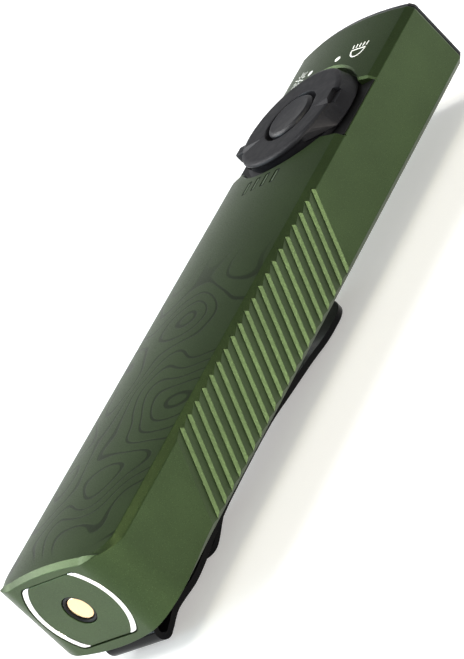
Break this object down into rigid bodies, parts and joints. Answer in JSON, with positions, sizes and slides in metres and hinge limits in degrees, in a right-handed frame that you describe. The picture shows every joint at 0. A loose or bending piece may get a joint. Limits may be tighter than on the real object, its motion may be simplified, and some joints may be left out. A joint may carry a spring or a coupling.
{
  "type": "flat tactical flashlight",
  "caption": "Flat pocket flashlight with ribbed green shell, rotary mode selector with push button, magnetic tail charging contact and two-way spring clip.",
  "frame": {"origin": "middle of the footprint, on the plane that the clip rests on", "axes": "+Y along the beam from the tail to the head, +Z out of the button face, +X to the right seen from behind with the buttons up"},
  "size_m": [0.025, 0.11, 0.0207],
  "materials": {
    "shell_green": "matt green anodised",
    "bare_metal": "bare, turned",
    "gold_contact": "gold plated",
    "black_metal": "black anodised",
    "selector_black": "fine black anodised",
    "spring_clip": "black coated spring steel",
    "black_plastic": "matt",
    "rubber": "matt",
    "clear_glass": "polished",
    "board": "solder mask",
    "copper": "copper",
    "brass": "turned",
    "lamp_phosphor": "phosphor and silicone",
    "cell_wrap": "shrink film",
    "steel": "bright"
  },
  "bodies": {
    "light_body": {"body_shell": "shell_green", "tail_island": "shell_green", "contact_ring": "bare_metal", "contact_pin": "gold_contact", "contact_insulator": "black_plastic", "contact_carrier": "black_plastic", "tail_magnet": "steel", "tail_seal": "rubber", "charge_board": "board", "battery_cell": "cell_wrap", "battery_pad": "rubber", "battery_tab_minus": "steel", "battery_tab_plus": "steel", "flex_cable": "copper", "driver_board": "board", "power_inductor": "black_plastic", "driver_transistor": "black_plastic", "controller_chip": "black_plastic", "tactile_switch": "steel", "rotation_sensor": "black_plastic", "indicator_leds": "lamp_phosphor", "indicator_windows": "black_plastic", "heat_spreader": "copper", "led_board": "board", "main_led": "lamp_phosphor", "main_optic": "clear_glass", "optic_holder": "black_plastic", "laser_barrel": "brass", "laser_diode": "gold_contact", "laser_lens": "clear_glass", "front_window": "clear_glass", "lens_gasket": "rubber", "front_bezel": "black_metal", "clip_base": "spring_clip", "clip_screw_left": "steel", "clip_screw_right": "steel"},
    "selector": {"selector_ring": "selector_black", "selector_magnet": "steel", "detent_ball_rear": "steel", "detent_ball_front": "steel", "selector_seal": "rubber", "selector_retainer": "steel"},
    "button": {"button_cap": "black_metal", "button_retainer": "steel", "button_spring": "steel"},
    "outer_leaf": {"clip_arm": "spring_clip"},
    "tongue": {"clip_tongue": "spring_clip"}
  },
  "joints": [
    {"name": "selector_turn", "type": "hinge", "parent": "light_body", "child": "selector", "pos_m": [0, 0.0328, 0.0175], "axis": [0, 0, 1], "range_deg": [-28, 0]},
    {"name": "button_press", "type": "slide", "parent": "light_body", "child": "button", "axis": [0, 0, -1], "range_m": [0, 0.0005], "stiffness_N_per_m": 500, "springref_m": -0.0008, "deforming": ["button_spring"]},
    {"name": "clip_flex", "type": "hinge", "parent": "light_body", "child": "outer_leaf", "pos_m": [0, -0.0498, 0.00193], "axis": [-1, 0, 0], "range_deg": [0, 4], "stiffness_Nm_per_rad": 5, "springref_deg": -3.44},
    {"name": "tongue_flex", "type": "hinge", "parent": "outer_leaf", "child": "tongue", "pos_m": [0, -0.017, 0.00302], "axis": [1, 0, 0], "range_deg": [0, 6], "stiffness_Nm_per_rad": 2.5, "springref_deg": -3.44}
  ]
}
